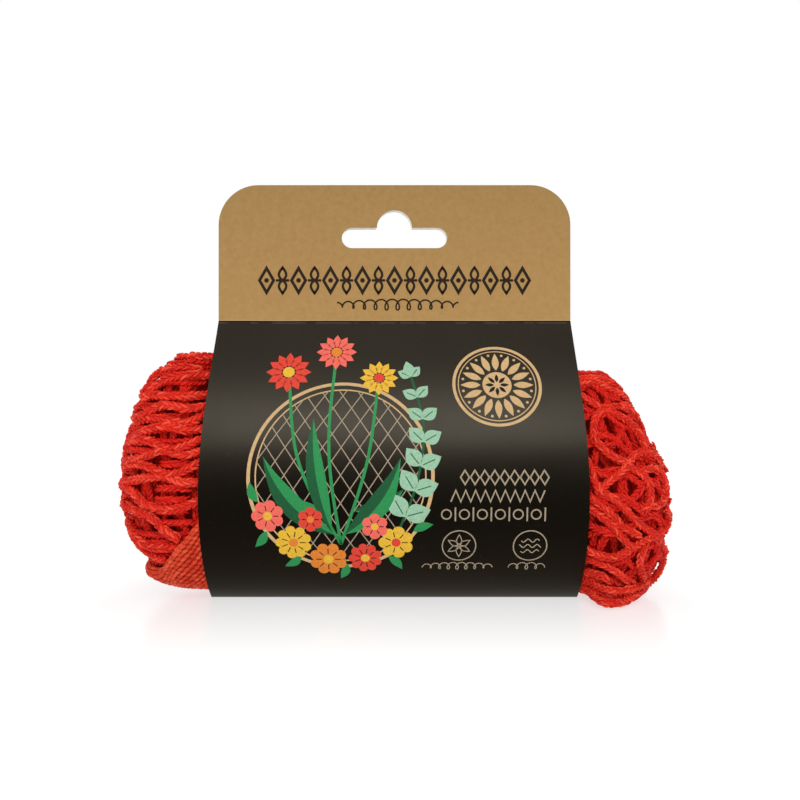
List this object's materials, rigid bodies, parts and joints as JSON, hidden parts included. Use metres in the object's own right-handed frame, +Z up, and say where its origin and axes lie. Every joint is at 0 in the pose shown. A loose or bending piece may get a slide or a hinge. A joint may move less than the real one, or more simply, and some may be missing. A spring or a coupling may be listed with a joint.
{
  "type": "string bag in card sleeve",
  "caption": "Cotton mesh string bag folded into a bundle, wrapped in a printed card sleeve with a slotted hang-up header, standing upright.",
  "frame": {"origin": "middle of the flat fold of card that the object stands on", "axes": "+X along the bundle, to the right seen from the printed front; -Y towards the printed front; +Z up towards the hang-up header"},
  "size_m": [0.1681, 0.0402, 0.1266],
  "materials": {
    "card": "uncoated kraft, black printed on the panel",
    "cotton_net": "matt chain-stitched cotton cord",
    "cotton_strap": "matt ribbed knit"
  },
  "bodies": {
    "root": {"card_sleeve": "card", "net_bundle": "cotton_net", "handle_strap": "cotton_strap"}
  },
  "joints": []
}
